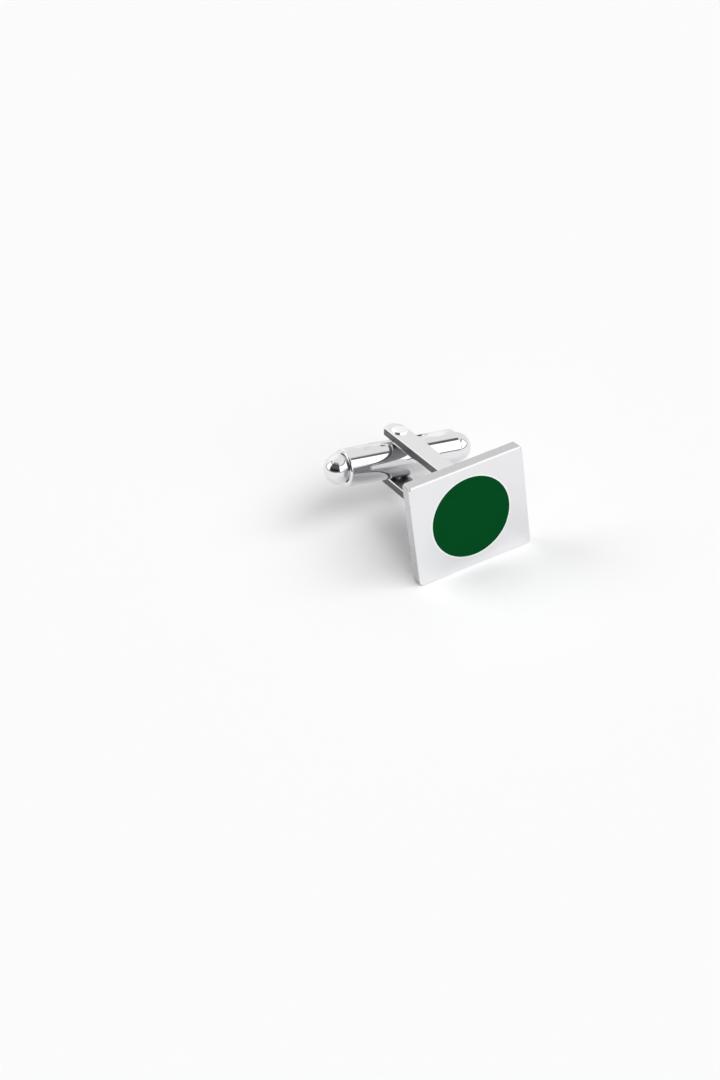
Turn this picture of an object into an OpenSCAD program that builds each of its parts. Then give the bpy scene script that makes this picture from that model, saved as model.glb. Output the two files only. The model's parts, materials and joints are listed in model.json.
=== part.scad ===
// Cufflink with a swivelling round bar: a rectangular face plate with a flush enamel disc,
// a U-shaped post soldered to its back, and a barrel with ball ends that turns between the
// arms of the post. Millimetres, +Z up. The plate faces -Y and stands on its lower edge.
// The origin is on the lower edge, at mid width and mid thickness.

/* [Face plate] */
// Width of the plate
plate_w = 16; // [12:0.5:20]
// Height of the plate
plate_h = 14; // [12:0.5:18]
// Thickness of the plate
plate_t = 1.7; // [1.4:0.1:2.5]
// Radius of the plate's four corners
plate_corner_r = 0.5; // [0.5:0.1:2]
// Width of the bevel round the front
plate_bevel = 0.2; // [0.1:0.05:0.4]

/* [Enamel disc] */
// Diameter of the disc and of its recess
enamel_d = 10.9; // [7:0.1:11]
// Depth of the recess
enamel_depth = 0.5; // [0.3:0.1:0.8]

/* [Post] */
// Turn of the post and bar about the post's own axis, against the plate's sides
back_turn = 11; // [0:1:45]
// Width of the strip that the post is bent from
arm_w = 2.8; // [2.4:0.1:4]
// Thickness of that strip
arm_t = 1.2; // [0.8:0.1:1.4]
// Inner radius of the two bends at the plate
bend_r = 0.5; // [0.3:0.1:1]
// Distance from the back of the plate to the pivot
post_len = 16.6; // [15:0.1:20]
// Reach of the arms past the pivot
arm_nose = 2.7; // [2.2:0.05:4]
// Clearance between the barrel and each arm
side_clear = 0.08; // [0.06:0.02:0.4]
// Height of the solder bead round the foot of the post
bead_h = 0.35; // [0.2:0.05:0.6]

/* [Bar] */
// Diameter of the barrel
barrel_d = 5; // [4.8:0.05:6]
// Length of the barrel
barrel_len = 16.4; // [14:0.1:20]
// Rounding of the barrel's two ends
barrel_edge_r = 0.3; // [0.15:0.05:0.4]
// Diameter of the ball ends
ball_d = 4; // [3.7:0.1:4.6]
// Distance of each ball's centre past the barrel's end
ball_out = 0.4; // [0.2:0.05:0.6]
// Width of the groove between barrel and ball
groove_w = 0.15; // [0.1:0.05:0.3]
// Diameter at the bottom of the groove
groove_d = 3.4; // [2.8:0.1:3.5]
// Diameter of the spigot that holds each ball end
spigot_d = 2; // [1.4:0.1:2]

/* [Pivot] */
// Diameter of the pivot pin
pin_d = 1.3; // [1:0.1:1.4]
// Running clearance round the pin, on the radius
pin_clear = 0.05; // [0.03:0.01:0.08]
// Diameter of the pin's two heads
pin_head_d = 2.2; // [1.8:0.1:2.4]
// Height of the pin's heads
pin_head_h = 0.3; // [0.1:0.05:0.4]
// Side of the square cam on the pin
cam_side = 2.4; // [2.2:0.1:2.6]
// Height of the cam
cam_h = 1; // [0.7:0.1:1.2]
// Rounding of the cam's corners
cam_corner_r = 0.25; // [0.2:0.05:0.5]
// Clearance between the cam and its pocket
cam_clear = 0.1; // [0.08:0.01:0.15]

/* [Spring] */
// Thickness of the leaf spring
leaf_t = 0.3; // [0.2:0.05:0.4]
// Clearance between the leaf and the sides of its slot
leaf_clear = 0.05; // [0.03:0.01:0.1]
// Wall between the end of the leaf's slot and the end of the barrel
leaf_end_wall = 0.7; // [0.5:0.1:1.2]
// Distance from the pivot to the leaf's free end
leaf_front = 1.1; // [0.8:0.1:1.2]
// Diameter of the rivet that fixes the leaf
leaf_rivet_d = 0.5; // [0.3:0.05:0.6]
// Wall between that rivet and the spigot of the ball end
spigot_wall = 0.1; // [0.05:0.05:0.2]

/* [Hidden] */
$fn = 96;

// Overrun of every cut past the face it opens
overrun = 0.5;
// Width of the solder bead beyond the foot, so that a narrow flat is left on top
bead_w = bead_h * 1.4;
// Play under the post's bends, which keeps the bead from ending in a knife edge there
bead_play = 0.05;

// Post
gap = barrel_d + 2 * side_clear;
outer_half = gap / 2 + arm_t;
arm_end = post_len + arm_nose;
end_centre = arm_end - arm_w / 2;
outer_bend_r = bend_r + arm_t;

// Bar
barrel_r = barrel_d / 2;
barrel_half = barrel_len / 2;

// Cam and its pocket
cam_half = cam_side / 2;
cam_corner = cam_half - cam_corner_r;
cam_reach = cam_corner * sqrt(2) + cam_corner_r;
pocket_r = cam_reach + cam_clear;
slot_h = cam_h + 2 * cam_clear;

// Slot in the side of the barrel away from the plate. The cam goes in through its right end,
// and the leaf lies in it, level with the cam's flat.
mouth_half = cam_half + cam_clear;
slot_right = max(mouth_half, leaf_front + leaf_clear);
slot_left = barrel_half - leaf_end_wall;
leaf_back = slot_left - leaf_clear;
leaf_h = slot_h - 2 * leaf_clear;

// Leaf rivet
leaf_rivet_x = leaf_back - leaf_h / 2;
leaf_rivet_head_d = leaf_h - 2 * leaf_clear;
leaf_rivet_head_h = leaf_t / 2;
leaf_rivet_grip = leaf_rivet_d * 1.6;
leaf_rivet_len = leaf_t + leaf_rivet_grip;

// Spigot of each ball end, which stops short of the leaf's rivet
spigot_len = barrel_half - leaf_rivet_x - leaf_rivet_d / 2 - spigot_wall;

// Places what belongs to the back in the frame of the plate. In the back's own frame y is 0
// at the back of the plate, the bar lies along X and the pivot along Z.
module on_post() {
    translate([0, plate_t / 2, plate_h / 2])
        rotate([0, back_turn, 0])
            children();
}

// The same, with the origin at the pivot
module on_pivot() {
    on_post()
        translate([0, post_len, 0])
            children();
}

// Rectangle with round corners, centred
module round_rect(w, h, r) {
    square([w - 2 * r, h], center = true);
    square([w, h - 2 * r], center = true);
    for (sx = [-1, 1], sy = [-1, 1])
        translate([sx * (w / 2 - r), sy * (h / 2 - r)])
            circle(r);
}

// Layer whose outline is a rounded rectangle at the bottom and is drawn in by its own
// thickness at the top
module bevel_layer(w, h, r, t) {
    for (sx = [-1, 1], sy = [-1, 1])
        translate([sx * (w / 2 - r), sy * (h / 2 - r), 0])
            cylinder(r1 = r, r2 = r - t, h = t);
    bevel_bar(w, h - 2 * r, t);
    rotate([0, 0, 90])
        bevel_bar(h, w - 2 * r, t);
}

// Bar of the given length along Y whose two long sides slope in by its thickness
module bevel_bar(w, length, t) {
    rotate([90, 0, 0])
        translate([0, 0, -length / 2])
            linear_extrude(length)
                polygon([[-w / 2, 0], [w / 2, 0], [w / 2 - t, t], [t - w / 2, t]]);
}

module face_plate() {
    color("gainsboro")
        translate([0, 0, plate_h / 2])
            difference() {
                rotate([90, 0, 0]) {
                    translate([0, 0, -plate_t / 2])
                        linear_extrude(plate_t - plate_bevel)
                            round_rect(plate_w, plate_h, plate_corner_r);
                    translate([0, 0, plate_t / 2 - plate_bevel])
                        bevel_layer(plate_w, plate_h, plate_corner_r, plate_bevel);
                }
                enamel_space(overrun);
            }
}

// Disc that fills the recess, with a given extra length in front of the plate
module enamel_space(extra) {
    rotate([90, 0, 0])
        translate([0, 0, plate_t / 2 - enamel_depth])
            cylinder(d = enamel_d, h = enamel_depth + extra);
}

module enamel_disc() {
    color("darkgreen")
        translate([0, 0, plate_h / 2])
            enamel_space(0);
}

module solder_bead() {
    color("silver")
        on_post()
            difference() {
                rotate([-90, 0, 0])
                    bevel_layer(arm_w + 2 * bead_w, 2 * (outer_half + bead_w), bead_w, bead_h);
                strip_of_width(arm_w)
                    u_outline(outer_half, -bead_play, outer_bend_r, arm_end);
            }
}

// Extrudes a side view of the post to the given width
module strip_of_width(w) {
    rotate([90, 0, 90])
        translate([0, 0, -w / 2])
            linear_extrude(w)
                children();
}

// Side view of a U that opens at the arms' ends: half its height, where it starts and the
// radius of its two corners
module u_outline(half, start, r, end) {
    translate([start + r, -half])
        square([end - start - r, 2 * half]);
    translate([start, r - half])
        square([end - start, 2 * (half - r)]);
    for (s = [-1, 1])
        translate([start + r, s * (half - r)])
            circle(r);
}

module yoke() {
    color("silver")
        on_post()
            difference() {
                intersection() {
                    strip_of_width(arm_w)
                        difference() {
                            u_outline(outer_half, 0, outer_bend_r, arm_end);
                            u_outline(gap / 2, arm_t, bend_r, arm_end + overrun);
                        }
                    translate([0, 0, -outer_half])
                        linear_extrude(2 * outer_half) {
                            translate([-arm_w / 2, 0])
                                square([arm_w, end_centre]);
                            translate([0, end_centre])
                                circle(d = arm_w);
                        }
                }
                translate([0, post_len, -outer_half - overrun])
                    cylinder(d = pin_d, h = 2 * (outer_half + overrun));
            }
}

// Low dome, flat side down
module dome(d, h) {
    dome_r = (d * d / 4 + h * h) / (2 * h);
    rotate_extrude()
        intersection() {
            translate([0, h - dome_r])
                circle(dome_r);
            square([d / 2, h]);
        }
}

module pivot_pin() {
    color("silver")
        on_pivot() {
            translate([0, 0, -outer_half])
                cylinder(d = pin_d, h = 2 * outer_half);
            for (s = [0, 1])
                mirror([0, 0, s])
                    translate([0, 0, outer_half])
                        dome(pin_head_d, pin_head_h);
        }
}

module cam_block() {
    color("darkgray")
        on_pivot()
            translate([0, 0, -cam_h / 2])
                linear_extrude(cam_h)
                    difference() {
                        round_rect(cam_side, cam_side, cam_corner_r);
                        circle(d = pin_d);
                    }
}

// Turned shape of the barrel, along X
module barrel_blank() {
    rotate([0, 90, 0])
        rotate_extrude() {
            translate([0, barrel_edge_r - barrel_half])
                square([barrel_r, barrel_len - 2 * barrel_edge_r]);
            translate([0, -barrel_half])
                square([barrel_r - barrel_edge_r, barrel_len]);
            for (s = [-1, 1])
                translate([barrel_r - barrel_edge_r, s * (barrel_half - barrel_edge_r)])
                    circle(barrel_edge_r);
        }
}

// Slot for the leaf, from its fixed end to past the pivot, and the cam's way in
module leaf_slot() {
    translate([-slot_left + slot_h / 2, cam_half, 0]) {
        translate([0, 0, -slot_h / 2])
            cube([slot_left - slot_h / 2 + slot_right, barrel_r + overrun - cam_half, slot_h]);
        rotate([-90, 0, 0])
            cylinder(d = slot_h, h = barrel_r + overrun - cam_half);
    }
    translate([-mouth_half, 0, -slot_h / 2])
        cube([2 * mouth_half, barrel_r + overrun, slot_h]);
}

module toggle_barrel() {
    color("silver")
        on_pivot()
            difference() {
                barrel_blank();
                leaf_slot();
                translate([0, 0, -slot_h / 2])
                    cylinder(r = pocket_r, h = slot_h);
                translate([0, 0, -barrel_r - overrun])
                    cylinder(r = pin_d / 2 + pin_clear, h = barrel_d + 2 * overrun);
                for (s = [0, 1])
                    mirror([s, 0, 0])
                        translate([barrel_half - spigot_len, 0, 0])
                            rotate([0, 90, 0])
                                cylinder(d = spigot_d, h = spigot_len + overrun);
                leaf_rivet_shank();
            }
}

// Ball with its neck and spigot, at the right end of the bar
module ball_end() {
    translate([barrel_half, 0, 0])
        rotate([0, 90, 0])
            rotate_extrude() {
                translate([0, -spigot_len])
                    square([spigot_d / 2, spigot_len + groove_w]);
                square([groove_d / 2, groove_w]);
                intersection() {
                    translate([0, ball_out])
                        circle(d = ball_d);
                    translate([0, groove_w])
                        square([ball_d / 2, ball_d]);
                }
            }
}

module right_ball_end() {
    color("silver")
        on_pivot()
            ball_end();
}

module left_ball_end() {
    color("silver")
        on_pivot()
            mirror([1, 0, 0])
                ball_end();
}

module leaf_rivet_shank() {
    translate([-leaf_rivet_x, cam_half - leaf_rivet_grip, 0])
        rotate([-90, 0, 0])
            cylinder(d = leaf_rivet_d, h = leaf_rivet_len);
}

module leaf_spring() {
    color("darkgray")
        on_pivot()
            difference() {
                translate([-leaf_back + leaf_h / 2, cam_half, 0]) {
                    translate([0, 0, -leaf_h / 2])
                        cube([leaf_back + leaf_front - leaf_h / 2, leaf_t, leaf_h]);
                    rotate([-90, 0, 0])
                        cylinder(d = leaf_h, h = leaf_t);
                }
                leaf_rivet_shank();
            }
}

module leaf_rivet() {
    color("silver")
        on_pivot() {
            leaf_rivet_shank();
            translate([-leaf_rivet_x, cam_half + leaf_t, 0])
                rotate([-90, 0, 0])
                    dome(leaf_rivet_head_d, leaf_rivet_head_h);
        }
}

face_plate();
enamel_disc();
solder_bead();
yoke();
pivot_pin();
cam_block();
toggle_barrel();
left_ball_end();
right_ball_end();
leaf_spring();
leaf_rivet();
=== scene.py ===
"""Looks of a cufflink: a rectangular face plate with a flush enamel disc, a post bent from one
strip of metal, and a round bar with ball ends that turns on a pin between the post's arms.

Everything is in metres, in the frame of the CAD model. The back of the cufflink is turned
against the plate, so its pieces are made in the pivot's own frame: X along the bar, Y away
from the plate and Z along the pin.
"""
import json
import math

import bmesh
import bpy
from mathutils import Matrix, Vector


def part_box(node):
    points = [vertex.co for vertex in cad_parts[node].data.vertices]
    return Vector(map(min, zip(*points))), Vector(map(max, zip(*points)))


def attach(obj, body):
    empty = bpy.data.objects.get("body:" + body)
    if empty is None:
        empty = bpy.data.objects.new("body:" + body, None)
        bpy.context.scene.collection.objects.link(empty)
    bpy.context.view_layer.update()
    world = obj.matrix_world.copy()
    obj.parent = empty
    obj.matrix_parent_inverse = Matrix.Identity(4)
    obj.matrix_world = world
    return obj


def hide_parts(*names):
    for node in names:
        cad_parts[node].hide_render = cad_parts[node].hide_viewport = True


MM = 0.001

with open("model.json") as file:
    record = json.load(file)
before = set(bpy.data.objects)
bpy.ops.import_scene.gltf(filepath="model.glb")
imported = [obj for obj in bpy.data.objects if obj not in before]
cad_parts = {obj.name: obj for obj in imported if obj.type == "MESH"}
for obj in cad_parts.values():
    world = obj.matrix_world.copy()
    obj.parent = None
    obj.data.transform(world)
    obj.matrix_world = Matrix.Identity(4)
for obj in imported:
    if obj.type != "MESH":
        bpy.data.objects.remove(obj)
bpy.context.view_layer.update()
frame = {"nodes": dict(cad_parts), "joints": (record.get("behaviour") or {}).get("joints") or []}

# The pivot's frame, from the joint that the bar turns on
swivel = frame["joints"][0]
PIN_AXIS = Vector(swivel["axis"]).normalized()
OUTWARD = Vector((0, 1, 0))
TURN = Matrix((OUTWARD.cross(PIN_AXIS), OUTWARD, PIN_AXIS)).transposed()
BACK = Matrix.Translation(Vector(swivel["pos_m"])) @ TURN.to_4x4()
HERE = Matrix.Identity(4)

# Turned and drawn pieces are made along X, and these lay them along another axis
QUARTER = math.pi / 2
ALONG_PIN = Matrix.Rotation(-QUARTER, 4, "Y")
TO_FRONT = Matrix.Rotation(-QUARTER, 4, "Z")
TO_BACK = Matrix.Rotation(QUARTER, 4, "Z")
OTHER_END = Matrix.Rotation(math.pi, 4, "Z")

# Sizes that the frame doesn't give
PLATE_CORNER = 0.5 * MM
PLATE_FRONT_ROUND = 0.2 * MM
PLATE_BACK_ROUND = 0.1 * MM
RECESS_ROUND = 0.03 * MM
RIM_W = 0.17 * MM
ENAMEL_ROUND = 0.03 * MM
ENAMEL_DROP = 0.01 * MM
STRIP_T = 1.2 * MM
STRIP_ROUND = 0.15 * MM
INNER_ROUND = 0.06 * MM
# Width of the band on the strip's sides that gets the painted highlight
BRIGHT_BAND = 0.17 * MM
NOSE_ROUND = 0.4 * MM
BEND_R = 0.5 * MM
PIN_R = 0.65 * MM
PIN_CLEAR = 0.05 * MM
BARREL_ROUND = 0.3 * MM
GROOVE_R = 1.7 * MM
GROOVE_W = 0.15 * MM
SPIGOT_R = 1.0 * MM
CAM_ROUND = 0.25 * MM
CAM_CLEAR = 0.1 * MM
LEAF_CLEAR = 0.05 * MM
RIVET_R = 0.25 * MM
EDGE = 0.06 * MM
OVERRUN = 0.5 * MM

# Share of the pin's head that stands straight, and share of its radius that is nearly flat
PIN_RIM = 0.35
PIN_FLAT = 0.6

# How far the solder's edge draws back, as a share, how often round the post and from where
SOLDER_WAVER = 0.1
SOLDER_WAVES = 5
SOLDER_START = 1.0

# Edges that turn by more than this are hard
HARD_EDGE = math.radians(35)

# Parts of a face's normal along an axis when it looks straight, mostly or hardly along it
STRAIGHT = 0.98
MOSTLY = 0.7
HARDLY = 0.1

# Points nearer than this are one
MERGE = 1e-7

# Steps of the round and straight stretches
ARC_STEPS = 6
TURNED_STEPS = 128
SIDE_STEPS = 24
CORNER_STEPS = 8
DOME_STEPS = 8
NOSE_STEPS = 16
ARM_STEPS = 4
BEND_STEPS = 12

# Camera, fitted to the photograph
EYE = Vector((-108.11, -206.107, 151.263)) * MM
LOOK = Vector((0.34916, 0.77164, -0.53166))
RIGHT = Vector((0.87173, -0.47561, -0.11779))
LENS_MM = 74.42


def span(node):
    """Lowest and highest corner of a CAD node in the pivot's frame."""
    inverse = BACK.inverted()
    corners = [inverse @ v.co for v in frame["nodes"][node].data.vertices]
    return Vector(map(min, zip(*corners))), Vector(map(max, zip(*corners)))


def arc(centre, radius, start, end, steps=ARC_STEPS):
    """Points of a round stretch in a plane, from one angle to another."""
    angles = [start + (end - start) * i / steps for i in range(steps + 1)]
    return [(centre[0] + radius * math.cos(a), centre[1] + radius * math.sin(a)) for a in angles]


def settle(piece):
    """Turns a piece's modifiers into plain mesh."""
    graph = bpy.context.evaluated_depsgraph_get()
    mesh = bpy.data.meshes.new_from_object(piece.evaluated_get(graph))
    piece.modifiers.clear()
    piece.data = mesh


def loft(name, rings, place=HERE, loop=False):
    """A closed skin over rings of points that have the same count. With loop, the last ring
    joins the first, and otherwise both ends are capped."""
    mesh = bmesh.new()
    rows = [[mesh.verts.new(place @ Vector(p)) for p in ring] for ring in rings]
    count = len(rows[0])
    pairs = list(zip(rows, rows[1:]))
    if loop:
        pairs.append((rows[-1], rows[0]))
    else:
        mesh.faces.new(rows[0])
        mesh.faces.new(rows[-1])
    for low, high in pairs:
        for i in range(count):
            j = (i + 1) % count
            mesh.faces.new((low[i], low[j], high[j], high[i]))
    bmesh.ops.remove_doubles(mesh, verts=mesh.verts, dist=MERGE)
    bmesh.ops.recalc_face_normals(mesh, faces=mesh.faces)
    piece = bpy.data.objects.new(name, bpy.data.meshes.new(name))
    mesh.to_mesh(piece.data)
    mesh.free()
    bpy.context.scene.collection.objects.link(piece)
    return piece


def turned(name, profile, place=HERE, steps=TURNED_STEPS):
    """A piece turned about X from a profile of (distance along X, radius)."""
    angles = [2 * math.pi * i / steps for i in range(steps)]
    rings = [[(x, r * math.cos(a), r * math.sin(a)) for a in angles] for x, r in profile]
    return loft(name, rings, place)


def drawn(name, outline, start, end, place=HERE):
    """A block with the same outline, given across X, all along X from start to end."""
    rings = [[(x, p, q) for p, q in outline] for x in (start, end)]
    return loft(name, rings, place)


def cut(piece, cutter):
    """Takes the cutter's shape out of the piece."""
    tool = piece.modifiers.new("cut", "BOOLEAN")
    tool.operation = "DIFFERENCE"
    tool.solver = "EXACT"
    tool.object = cutter
    settle(piece)
    bpy.data.objects.remove(cutter)


def soften(piece, width=EDGE, steps=3):
    """Rounds the hard edges."""
    tool = piece.modifiers.new("soften", "BEVEL")
    tool.width = width
    tool.segments = steps
    tool.limit_method = "ANGLE"
    tool.angle_limit = HARD_EDGE
    tool.use_clamp_overlap = True
    tool.miter_outer = "MITER_ARC"
    settle(piece)


def dress(piece, body, node, material, others=()):
    """Smooths a piece but for its hard edges, gives it its material, and sets it in the frame in
    place of its node. Each other material goes where its test of a face's centre and normal
    says."""
    for face in piece.data.polygons:
        face.use_smooth = True
    piece.data.set_sharp_from_angle(angle=HARD_EDGE)
    tool = piece.modifiers.new("flat faces stay flat", "WEIGHTED_NORMAL")
    tool.keep_sharp = True
    settle(piece)
    piece.data.materials.append(material)
    for index, (other, where) in enumerate(others, 1):
        piece.data.materials.append(other)
        for face in piece.data.polygons:
            if where(face.center, face.normal):
                face.material_index = index
    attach(piece, body)
    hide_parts(node)
    return piece


# Materials


def linear(hex_code):
    """Linear colour of an sRGB hex value."""
    parts = [int(hex_code[i:i + 2], 16) / 255 for i in (0, 2, 4)]
    return [p / 12.92 if p <= 0.04045 else ((p + 0.055) / 1.055) ** 2.4 for p in parts] + [1]


def add(tree, kind, inputs=None, **settings):
    """Adds a node, with its settings, and fills each input with a value or a link."""
    node = tree.nodes.new(kind)
    for name, value in settings.items():
        setattr(node, name, value)
    for name, value in (inputs or {}).items():
        if isinstance(value, bpy.types.NodeSocket):
            tree.links.new(value, node.inputs[name])
        else:
            node.inputs[name].default_value = value
    return node


def new_material(name):
    """An empty node material and the piece's own coordinates in it."""
    material = bpy.data.materials.new(name)
    material.use_nodes = True
    tree = material.node_tree
    tree.nodes.clear()
    place = add(tree, "ShaderNodeTexCoord").outputs["Object"]
    return material, tree, place


def varied(tree, place, size, low, high):
    """A value that wanders between two ends, in patches of the given size."""
    cloud = add(tree, "ShaderNodeTexNoise", {"Vector": place, "Scale": 1 / size, "Detail": 3})
    return add(tree, "ShaderNodeMapRange", {
        "Value": cloud.outputs["Fac"], "From Min": 0.3, "From Max": 0.7,
        "To Min": low, "To Max": high}).outputs["Result"]


def uneven(tree, place, size, height):
    """A surface normal that rolls by the given height over patches of the given size."""
    cloud = add(tree, "ShaderNodeTexNoise", {"Vector": place, "Scale": 1 / size, "Detail": 1})
    return add(tree, "ShaderNodeBump", {
        "Height": cloud.outputs["Fac"], "Strength": 1, "Distance": height}).outputs["Normal"]


def polished_rhodium():
    """Rhodium over polished brass, as buffed on a soft wheel: a cool mirror that rolls a little
    over a millimetre or two, with a faint haze that comes and goes."""
    material, tree, place = new_material("polished_rhodium")
    shader = add(tree, "ShaderNodeBsdfPrincipled", {
        "Base Color": linear("E9E9EA"), "Metallic": 1,
        "Roughness": varied(tree, place, 1.5 * MM, 0.03, 0.07),
        "Normal": uneven(tree, place, 2.5 * MM, 0.002 * MM)})
    add(tree, "ShaderNodeOutputMaterial", {"Surface": shader.outputs["BSDF"]})
    return material


def satin_rhodium():
    """Rhodium over a front that was ground on a fine belt: bright, but it mirrors only as soft
    patches. The belt's lines are drawn at 0.1 mm, coarser than the real 0.02 mm, to show."""
    material, tree, place = new_material("satin_rhodium")
    along = add(tree, "ShaderNodeMapping", {"Vector": place, "Scale": (0.04, 1, 1)})
    lines = uneven(tree, along.outputs["Vector"], 0.1 * MM, 0.0003 * MM)
    shader = add(tree, "ShaderNodeBsdfPrincipled", {
        "Base Color": linear("ECECED"), "Metallic": 1,
        "Roughness": varied(tree, place, 2 * MM, 0.18, 0.24), "Normal": lines})
    add(tree, "ShaderNodeOutputMaterial", {"Surface": shader.outputs["BSDF"]})
    return material


def burnished_painted_highlight():
    """Metal rubbed but not buffed, given a lighter copy of the plating's colour as a painted
    highlight: the edge of the recess, under the stone that ground the enamel flush, the pin's
    heads, under the tool that spun them over, and the band on the strip's sides that the
    shear's blade rubbed."""
    material, tree, place = new_material("burnished_painted_highlight")
    shader = add(tree, "ShaderNodeBsdfPrincipled", {
        "Base Color": linear("FCFCFC"), "Metallic": 1,
        "Roughness": varied(tree, place, 1 * MM, 0.14, 0.2)})
    add(tree, "ShaderNodeOutputMaterial", {"Surface": shader.outputs["BSDF"]})
    return material


def side_painted_shade():
    """The sides of the plate as the blanking tool left them, then plated: softer in what they
    mirror, and painted greyer than the front as painted shade, for the shadowed table they mirror."""
    material, tree, place = new_material("side_painted_shade")
    shader = add(tree, "ShaderNodeBsdfPrincipled", {
        "Base Color": linear("C6C6C7"), "Metallic": 1,
        "Roughness": varied(tree, place, 0.8 * MM, 0.2, 0.3),
        "Normal": uneven(tree, place, 0.6 * MM, 0.001 * MM)})
    add(tree, "ShaderNodeOutputMaterial", {"Surface": shader.outputs["BSDF"]})
    return material


def cut_strip_painted_shade():
    """The torn part of the strip's sides, sheared and never polished: dull metal with a fine
    drag, painted dark grey as painted shade, for the shade that the sides mirror."""
    material, tree, place = new_material("cut_strip_painted_shade")
    shade = add(tree, "ShaderNodeMix", {
        "Factor": varied(tree, place, 0.5 * MM, 0, 1), "A": linear("606061"),
        "B": linear("767677")}, data_type="RGBA")
    shader = add(tree, "ShaderNodeBsdfPrincipled", {
        "Base Color": shade.outputs["Result"], "Metallic": 1,
        "Roughness": varied(tree, place, 0.5 * MM, 0.4, 0.5),
        "Normal": uneven(tree, place, 0.15 * MM, 0.001 * MM)})
    add(tree, "ShaderNodeOutputMaterial", {"Surface": shader.outputs["BSDF"]})
    return material


def tooled_painted_shade():
    """Faces out of the buffing wheel's reach, inside the post and in the barrel's slot: plated
    over the lines that the rolls, the bending tool or the cutter left, and painted darker than
    the plating as painted shade, where these hollows lie in shade."""
    material, tree, place = new_material("tooled_painted_shade")
    along = add(tree, "ShaderNodeMapping", {"Vector": place, "Scale": (1, 0.05, 0.3)})
    shader = add(tree, "ShaderNodeBsdfPrincipled", {
        "Base Color": linear("9A9A9B"), "Metallic": 1,
        "Roughness": varied(tree, place, 0.8 * MM, 0.3, 0.4),
        "Normal": uneven(tree, along.outputs["Vector"], 0.12 * MM, 0.0008 * MM)})
    add(tree, "ShaderNodeOutputMaterial", {"Surface": shader.outputs["BSDF"]})
    return material


def hard_enamel():
    """Hard enamel, fired and ground flush: deep even green whose shine was taken off by the
    stone, with cloudy patches too faint to see but in raking light."""
    material, tree, place = new_material("hard_enamel")
    shade = add(tree, "ShaderNodeMix", {
        "Factor": varied(tree, place, 3 * MM, 0, 1), "A": linear("02421B"),
        "B": linear("03441D")}, data_type="RGBA")
    shader = add(tree, "ShaderNodeBsdfPrincipled", {
        "Base Color": shade.outputs["Result"], "Specular IOR Level": 0.01,
        "Roughness": varied(tree, place, 1.2 * MM, 0.16, 0.22),
        "Normal": uneven(tree, place, 1.2 * MM, 0.0005 * MM)})
    add(tree, "ShaderNodeOutputMaterial", {"Surface": shader.outputs["BSDF"]})
    return material


def silver_solder():
    """Silver solder under the same plating: it wetted the metal and set in soft ripples."""
    material, tree, place = new_material("silver_solder")
    shader = add(tree, "ShaderNodeBsdfPrincipled", {
        "Base Color": linear("DADADB"), "Metallic": 1,
        "Roughness": varied(tree, place, 0.3 * MM, 0.15, 0.3),
        "Normal": uneven(tree, place, 0.4 * MM, 0.03 * MM)})
    add(tree, "ShaderNodeOutputMaterial", {"Surface": shader.outputs["BSDF"]})
    return material


def spring_steel():
    """Rolled spring steel: darker and warmer than the plating, with the roll's fine lines
    along it."""
    material, tree, place = new_material("spring_steel")
    along = add(tree, "ShaderNodeMapping", {"Vector": place, "Scale": (0.05, 1, 1)})
    shader = add(tree, "ShaderNodeBsdfPrincipled", {
        "Base Color": linear("B5B3B0"), "Metallic": 1,
        "Roughness": varied(tree, place, 0.5 * MM, 0.18, 0.28),
        "Normal": uneven(tree, along.outputs["Vector"], 0.08 * MM, 0.0005 * MM)})
    add(tree, "ShaderNodeOutputMaterial", {"Surface": shader.outputs["BSDF"]})
    return material


POLISHED = polished_rhodium()
SATIN = satin_rhodium()
# Lighter copy of the plating: a painted highlight
BURNISHED_PAINTED_HIGHLIGHT = burnished_painted_highlight()
# Darker copy of the plating: painted shade on the plate's sides
SIDE_PAINTED_SHADE = side_painted_shade()
# Dark grey: painted shade on the strip's torn sides
CUT_PAINTED_SHADE = cut_strip_painted_shade()
# Darker copy of the plating: painted shade inside the post and in the slot
TOOLED_PAINTED_SHADE = tooled_painted_shade()
ENAMEL = hard_enamel()
SOLDER = silver_solder()
STEEL = spring_steel()


# Face plate and its disc


def rounded_outline(width, height, radius):
    """Points of a rectangle that lies within another by the radius, each with the way out from
    it, so that a reach along that way gives the outline with round corners. Along a side they
    lie at even bearings from the middle, as seen in a square."""
    w, h = width / 2 - radius, height / 2 - radius
    corners = [(w, h), (-w, h), (-w, -h), (w, -h)]
    outline = []
    for q in range(4):
        (x0, z0), (x1, z1) = corners[q - 1], corners[q]
        for k in range(1, SIDE_STEPS):
            share = (1 + math.tan(math.pi / 4 * (2 * k / SIDE_STEPS - 1))) / 2
            way = (math.cos(q * QUARTER), math.sin(q * QUARTER))
            outline.append(((x0 + (x1 - x0) * share, z0 + (z1 - z0) * share), way))
        for way in arc((0, 0), 1, q * QUARTER, (q + 1) * QUARTER, CORNER_STEPS):
            outline.append((corners[q], way))
    return outline


def outline_ring(outline, reach, y):
    """The ring at a reach from the inner rectangle, at depth y."""
    return [(p[0] + way[0] * reach, y, p[1] + way[1] * reach) for p, way in outline]


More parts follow.
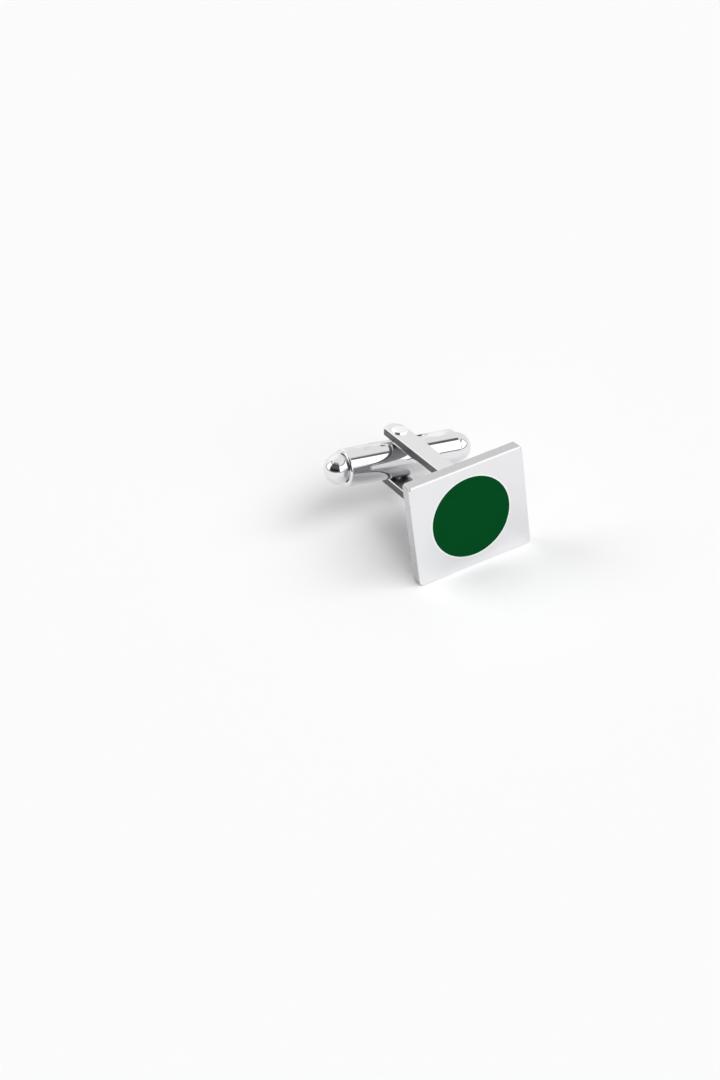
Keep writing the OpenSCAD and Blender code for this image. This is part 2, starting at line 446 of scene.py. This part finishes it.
def face_plate():
    """One skin: round the back's edge, up the sides, over the front's edge and down into the
    recess. The sides are painted greyer than the front as painted shade, and the recess has a
    rim with a painted highlight."""
    low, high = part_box("face_plate")
    disc_low, disc_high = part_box("enamel_disc")
    recess_r = (disc_high.x - disc_low.x) / 2
    middle = Matrix.Translation((0, 0, (low.z + high.z) / 2))
    outline = rounded_outline(high.x - low.x, high.z - low.z, PLATE_CORNER)
    edges = arc((high.y - PLATE_BACK_ROUND, PLATE_CORNER - PLATE_BACK_ROUND),
                PLATE_BACK_ROUND, 0, QUARTER)
    edges += arc((low.y + PLATE_FRONT_ROUND, PLATE_CORNER - PLATE_FRONT_ROUND),
                 PLATE_FRONT_ROUND, QUARTER, math.pi)
    rings = [outline_ring(outline, r, y) for y, r in edges]
    bearings = [math.atan2(z, x) for x, y, z in rings[0]]
    recess = arc((low.y + RECESS_ROUND, recess_r + RECESS_ROUND),
                 RECESS_ROUND, math.pi, 1.5 * math.pi)
    for y, r in [(low.y, recess_r + RIM_W)] + recess + [(disc_high.y, recess_r)]:
        rings.append([(r * math.cos(b), y, r * math.sin(b)) for b in bearings])
    piece = loft("plate", rings, middle)

    def is_side(centre, normal):
        return abs(normal.y) < HARDLY

    def is_rim(centre, normal):
        off_middle = (centre - middle.translation).xz.length
        return centre.y < disc_high.y and off_middle < recess_r + RIM_W

    # The sides get painted shade and the recess's rim a painted highlight
    return dress(piece, "face_and_post", "face_plate", SATIN, [
        (SIDE_PAINTED_SHADE, is_side), (BURNISHED_PAINTED_HIGHLIGHT, is_rim)])


def enamel_disc():
    """A flat disc with a hair of rounding at its edge, just below the plate's front."""
    low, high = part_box("enamel_disc")
    radius = (high.x - low.x) / 2
    depth = high.y - low.y - ENAMEL_DROP
    profile = [(0, 0), (0, radius)]
    profile += arc((depth - ENAMEL_ROUND, radius - ENAMEL_ROUND), ENAMEL_ROUND, QUARTER, 0)
    profile += [(depth, radius / 2), (depth, 0)]
    middle = Matrix.Translation((0, high.y, (low.z + high.z) / 2)) @ TO_FRONT
    piece = turned("enamel", profile, middle)
    return dress(piece, "face_and_post", "enamel_disc", ENAMEL)


# Post and its solder


def strip_section(half_t, outer_round):
    """One side of the strip's section, from its inner to its outer face: how far each point
    lies in from the strip's side, and its place through the thickness."""
    points = []
    for end, r in ((-1, INNER_ROUND), (1, outer_round)):
        for x, y in arc((0, 0), r, (end - 1) / 2 * QUARTER, (end + 1) / 2 * QUARTER):
            points.append((r - x, end * (half_t - r) + y))
        if end < 0:
            points.append((0, INNER_ROUND + BRIGHT_BAND - half_t))
    return points


def post():
    """The strip is laid out flat, with its round ends, then each point is bent to its place on
    the U. The outer edge was buffed rounder at the nose of each arm."""
    low, high = span("yoke")
    half_w, half_t, outer = high.x, STRIP_T / 2, high.z
    corner_r = BEND_R + half_t
    corner_y = low.y + BEND_R + STRIP_T
    corner_z = outer - BEND_R - STRIP_T
    arm = high.y - corner_y
    bend = corner_r * QUARTER
    total = 2 * (arm + bend + corner_z)

    def bent(s, w, t):
        """Place of a point at s along the strip, w across it and t through it."""
        if s > total / 2:
            x, y, z = bent(total - s, w, t)
            return x, y, -z
        if s < arm:
            return w, high.y - s, outer - half_t + t
        if s < arm + bend:
            a = (s - arm) / corner_r
            reach = corner_r + t
            return w, corner_y - reach * math.sin(a), corner_z + reach * math.cos(a)
        return w, low.y + half_t - t, corner_z - (s - arm - bend)

    stations = [(half_w * (1 - math.cos(a)), math.sin(a), math.cos(a))
                for a in [QUARTER * i / NOSE_STEPS for i in range(NOSE_STEPS + 1)]]
    stations += [(half_w + (arm - half_w) * i / ARM_STEPS, 1, 0) for i in range(1, ARM_STEPS + 1)]
    stations += [(arm + bend * i / BEND_STEPS, 1, 0) for i in range(1, BEND_STEPS + 1)]
    rings = []
    for s, across, along in stations:
        section = strip_section(half_t, STRIP_ROUND + (NOSE_ROUND - STRIP_ROUND) * along)
        side = [(s + inset * along, (half_w - inset) * across, t) for inset, t in section]
        rings.append([bent(*p) for p in side] + [bent(q, -w, t) for q, w, t in reversed(side)])
    rings += [[(x, y, -z) for x, y, z in ring] for ring in reversed(rings)]
    piece = loft("post", rings, BACK)
    bore = [(-high.z - OVERRUN, PIN_R), (high.z + OVERRUN, PIN_R)]
    cut(piece, turned("bore", bore, BACK @ ALONG_PIN))
    inverse = BACK.inverted()

    def is_side(centre, normal):
        centre, normal = inverse @ centre, inverse.to_3x3() @ normal
        round_nose = centre.y > high.y - half_w
        return abs(normal.x) > STRAIGHT or (round_nose and abs(normal.z) < HARDLY)

    def is_cut_painted_shade(centre, normal):
        """The dull part of a side, painted dark as painted shade, past the band that the shear
        rubbed, which has the painted highlight.
        """
        place = inverse @ centre
        depth = math.hypot(max(corner_y - place.y, 0), max(abs(place.z) - corner_z, 0)) - BEND_R
        return depth > INNER_ROUND + BRIGHT_BAND and is_side(centre, normal)

    def is_inside(centre, normal):
        centre, normal = inverse @ centre, inverse.to_3x3() @ normal
        inward = -normal.z * math.copysign(1, centre.z)
        return inward > MOSTLY or (normal.y > MOSTLY and centre.y < corner_y)

    # Painted shade inside the post and on the torn sides, painted highlight on the sides' band
    return dress(piece, "face_and_post", "yoke", POLISHED, [
        (TOOLED_PAINTED_SHADE, is_inside), (BURNISHED_PAINTED_HIGHLIGHT, is_side), (CUT_PAINTED_SHADE, is_cut_painted_shade)])


def solder():
    """A hollow fillet round the foot of the post. It fills the wedges under the two bends, and
    its width wanders a little, as solder runs."""
    low, high = span("solder_bead")
    post_high = span("yoke")[1]
    width, rise = high.x - post_high.x, high.y - low.y
    outline = rounded_outline(2 * post_high.x, 2 * post_high.z, EDGE)

    def ring(out, up):
        """Outline of the bead where it stands out from the post by a share of its full width,
        at a share of its height."""
        points = []
        for (x, z), (way_x, way_z) in outline:
            wave = 1 + math.sin(SOLDER_WAVES * math.atan2(z, x) + SOLDER_START)
            reach = EDGE + out * width * (1 - SOLDER_WAVER * wave)
            points.append((x + way_x * reach, low.y + up * rise, z + way_z * reach))
        return points

    rings = [ring(1 + x, 1 + y)
             for x, y in arc((0, 0), 1, 1.5 * math.pi, math.pi, CORNER_STEPS)]
    # The inner wall lies inside the post's foot, where nothing shows it
    inner_x = 1 - 0.5 * STRIP_T / post_high.x
    inner_z = 1 - 0.75 * STRIP_T / post_high.z
    rings += [[(x * inner_x, y, z * inner_z) for x, y, z in ring(0, up)] for up in (1, 0)]
    piece = loft("solder_fillet", rings, BACK, loop=True)
    return dress(piece, "face_and_post", "solder_bead", SOLDER)


# Pivot


def dome(start, rise, edge_r, flat_r=0):
    """Profile of a turned head above its rim: it rises from its edge to where it gets flat."""
    angles = [QUARTER * i / DOME_STEPS for i in range(1, DOME_STEPS + 1)]
    return [(start + rise * math.sin(a), flat_r + (edge_r - flat_r) * math.cos(a)) for a in angles]


def pivot_pin():
    """A rivet: each end was spun over to a low head with a nearly flat top."""
    high = span("pivot_pin")[1]
    head_r, top, seat = high.x, high.z, span("yoke")[1].z
    rise = top - seat
    rim = seat + rise * PIN_RIM
    half = [(seat, PIN_R), (seat, head_r), (rim, head_r)]
    half += dome(rim, top - rim, head_r, head_r * PIN_FLAT) + [(top, 0)]
    profile = [(-x, r) for x, r in reversed(half)] + half
    piece = turned("pin", profile, BACK @ ALONG_PIN, steps=64)
    # The heads get the lighter copy of the plating, a painted highlight
    return dress(piece, "face_and_post", "pivot_pin", BURNISHED_PAINTED_HIGHLIGHT)


def cam():
    """A square block with round corners, pierced for the pin."""
    low, high = span("cam_block")
    inner = high.x - CAM_ROUND
    outline = []
    for q, (x, y) in enumerate([(inner, inner), (-inner, inner), (-inner, -inner), (inner, -inner)]):
        outline += arc((x, y), CAM_ROUND, q * QUARTER, (q + 1) * QUARTER)
    piece = drawn("cam", outline, low.z, high.z, BACK @ ALONG_PIN)
    bore = [(low.z - OVERRUN, PIN_R), (high.z + OVERRUN, PIN_R)]
    cut(piece, turned("bore", bore, BACK @ ALONG_PIN))
    soften(piece)
    return dress(piece, "face_and_post", "cam_block", STEEL)


# Bar


def tongue(left, right, half):
    """Outline of a strip along the bar, seen from behind: square on the right, round on the
    left. Places along the bar change sign, because X runs to the left from there."""
    return ([(-right, half), (-right, -half)]
            + arc((-left - half, 0), half, -QUARTER, QUARTER, steps=16))


def barrel():
    """A plain round tube. Behind, it has the slot that the leaf lies in, which is also the
    cam's way in, and inside it the round pocket that the cam turns in."""
    high = span("toggle_barrel")[1]
    cam_high = span("cam_block")[1]
    leaf_low = span("leaf_spring")[0]
    radius, half = high.z, high.x
    end = arc((half - BARREL_ROUND, radius - BARREL_ROUND), BARREL_ROUND, QUARTER, 0, steps=8)
    profile = [(-half, 0)] + [(-x, r) for x, r in reversed(end)] + end + [(half, 0)]
    piece = turned("barrel", profile, BACK)

    deep = cam_high.z + CAM_CLEAR
    mouth = cam_high.x + CAM_CLEAR
    top = radius + OVERRUN
    slot = tongue(leaf_low.x - LEAF_CLEAR, mouth, deep)
    cut(piece, drawn("slot", slot, leaf_low.y, top, BACK @ TO_BACK))
    soften(piece)
    way_in = [(-mouth, -deep), (mouth, -deep), (mouth, deep), (-mouth, deep)]
    cut(piece, drawn("mouth", way_in, 0, leaf_low.y + EDGE, BACK @ TO_BACK))
    reach = (cam_high.x - CAM_ROUND) * math.sqrt(2) + CAM_ROUND + CAM_CLEAR
    cut(piece, turned("pocket", [(-deep, reach), (deep, reach)], BACK @ ALONG_PIN, steps=96))
    bore_r = PIN_R + PIN_CLEAR
    cut(piece, turned("bore", [(-top, bore_r), (top, bore_r)], BACK @ ALONG_PIN, steps=64))
    inverse = BACK.inverted()

    def is_milled_painted_shade(centre, normal):
        centre = inverse @ centre
        return centre.yz.length < radius - 2 * EDGE and abs(centre.x) < half - BARREL_ROUND

    # The slot's milled faces get painted shade
    return dress(piece, "toggle_bar", "toggle_barrel", POLISHED, [
        (TOOLED_PAINTED_SHADE, is_milled_painted_shade)])


def ball_end(name, node, place):
    """Ball with its neck and the spigot that is pressed into the barrel. Both ends are made to
    the right one's size, and the place turns one of them round."""
    low, high = span("right_ball_end")
    radius, face = high.z, span("toggle_barrel")[1].x
    centre = high.x - radius
    rim = face + GROOVE_W
    start = math.acos((rim - centre) / radius)
    profile = [(low.x, 0), (low.x, SPIGOT_R), (face, SPIGOT_R), (face, GROOVE_R), (rim, GROOVE_R),
               (rim, radius * math.sin(start) - EDGE)]
    profile += arc((centre, 0), radius, start - EDGE / radius, 0, steps=48)
    piece = turned(name, profile, BACK @ place)
    return dress(piece, "toggle_bar", node, POLISHED)


def leaf():
    """A flat leaf, square at the cam and round at the rivet."""
    low, high = span("leaf_spring")
    outline = tongue(low.x, high.x, high.z)
    piece = drawn("leaf", outline, low.y, high.y, BACK @ TO_BACK)
    soften(piece, EDGE / 2)
    return dress(piece, "toggle_bar", "leaf_spring", STEEL)


def leaf_rivet():
    """A small rivet whose domed head sits on the leaf."""
    low, high = span("leaf_rivet")
    seat, head_r = span("leaf_spring")[1].y, high.z
    profile = [(low.y, 0), (low.y, RIVET_R), (seat, RIVET_R), (seat, head_r)]
    profile += dome(seat, high.y - seat, head_r)
    middle = Matrix.Translation(((low.x + high.x) / 2, 0, 0))
    piece = turned("leaf_rivet_head", profile, BACK @ middle @ TO_BACK, steps=48)
    return dress(piece, "toggle_bar", "leaf_rivet", POLISHED)


# Studio


def floor():
    """Pale matt table under the cufflink."""
    material, tree = new_material("pale_table")[:2]
    shader = add(tree, "ShaderNodeBsdfDiffuse", {"Color": linear("F8F8F9")})
    add(tree, "ShaderNodeOutputMaterial", {"Surface": shader.outputs["BSDF"]})
    reach = 3000 * MM
    thick = 10 * MM
    square = [(-reach, -reach), (reach, -reach), (reach, reach), (-reach, reach)]
    table = loft("table", [[(x, y, z) for x, y in square] for z in (-thick, 0)])
    table.data.materials.append(material)


def room():
    """Light tent round the table. What the metal mirrors is pale all round, with two bright
    windows in front and the dark of the room between them. The table is lit softly, mostly
    from the front and the right, and less from the back left."""
    world = bpy.data.worlds.new("tent")
    bpy.context.scene.world = world
    world.use_nodes = True
    tree = world.node_tree
    tree.nodes.clear()
    way = add(tree, "ShaderNodeTexCoord").outputs["Generated"]
    parts = add(tree, "ShaderNodeSeparateXYZ", {"Vector": way})
    ahead = add(tree, "ShaderNodeMath", {0: parts.outputs["Y"], 1: -1.0}, operation="MULTIPLY")
    bearing = add(tree, "ShaderNodeMath", {0: parts.outputs["X"], 1: ahead.outputs[0]},
                  operation="ARCTAN2").outputs[0]
    height = add(tree, "ShaderNodeMath", {0: parts.outputs["Z"]}, operation="ARCSINE").outputs[0]

    def between(angle, low, high, blur):
        """1 between two angles in degrees, the short way round, with a soft edge."""
        off = add(tree, "ShaderNodeMath", {0: angle, 1: math.radians((low + high) / 2)},
                  operation="SUBTRACT")
        turned_back = add(tree, "ShaderNodeMath", {0: off.outputs[0], 1: math.pi, 2: -math.pi},
                          operation="WRAP")
        apart = add(tree, "ShaderNodeMath", {0: turned_back.outputs[0]}, operation="ABSOLUTE")
        half = (high - low) / 2
        return add(tree, "ShaderNodeMapRange", {
            "Value": apart.outputs[0], "From Min": math.radians(half + blur),
            "From Max": math.radians(half - blur)}, interpolation_type="SMOOTHSTEP"
        ).outputs["Result"]

    def light(strength, patches):
        """Background of an even strength with patches laid over it. A patch has its left,
        right, bottom and top in degrees, the softness of its edge, and its strength. Bearings
        run from the front to the right."""
        for left, right, bottom, top, blur, patch_strength in patches:
            patch = add(tree, "ShaderNodeMath", {
                0: between(bearing, left, right, blur), 1: between(height, bottom, top, blur)},
                operation="MULTIPLY").outputs[0]
            strength = add(tree, "ShaderNodeMix", {
                "Factor": patch, "A": strength, "B": patch_strength},
                data_type="FLOAT").outputs["Result"]
        return add(tree, "ShaderNodeBackground", {"Color": linear("FFFFFF"), "Strength": strength})

    mirrored = light(0.9, [
        (150, 215, 10, 65, 10, 1.1),
        (-100, -20, -6, 72, 6, 0.3),
        (-98, -22, 6, 60, 4, 0.1),
        (-92, -28, 8, 26, 4, 0.02),
        (-24, 82, -6, 50, 1.5, 0.12),
        (-20, 77, 5, 44, 1.5, 1.6),
        (-143, -100, -6, 50, 1.5, 0.12),
        (-138, -104, 5, 45, 1.5, 1.6),
    ])
    lighting = light(0.25, [
        (-180, 180, -6, 60, 4, 0.06),
        (68, 158, 30, 60, 8, 1.2),
        (-158, -112, 30, 60, 6, 2.8),
        (-22, 68, 30, 60, 6, 4.6),
        (-22, 22, 3, 30, 5, 2.0),
    ])
    seen = light(1, [])
    path = add(tree, "ShaderNodeLightPath")
    unseen = add(tree, "ShaderNodeMixShader", {
        0: path.outputs["Is Glossy Ray"], 1: lighting.outputs[0], 2: mirrored.outputs[0]})
    mix = add(tree, "ShaderNodeMixShader", {
        0: path.outputs["Is Camera Ray"], 1: unseen.outputs[0], 2: seen.outputs[0]})
    add(tree, "ShaderNodeOutputWorld", {"Surface": mix.outputs[0]})


def camera():
    """Camera at the photograph's angle."""
    scene = bpy.context.scene
    data = bpy.data.cameras.new("camera")
    data.lens = LENS_MM
    data.clip_start = 10 * MM
    eye = bpy.data.objects.new("camera", data)
    look = LOOK.normalized()
    right = RIGHT.normalized()
    turn = Matrix((right, right.cross(look), -look)).transposed()
    eye.matrix_world = Matrix.Translation(EYE) @ turn.to_4x4()
    scene.collection.objects.link(eye)
    scene.camera = eye
    scene.view_settings.view_transform = "Standard"


face_plate()
enamel_disc()
post()
solder()
pivot_pin()
cam()
barrel()
ball_end("right_ball", "right_ball_end", HERE)
ball_end("left_ball", "left_ball_end", OTHER_END)
leaf()
leaf_rivet()
floor()
room()
camera()
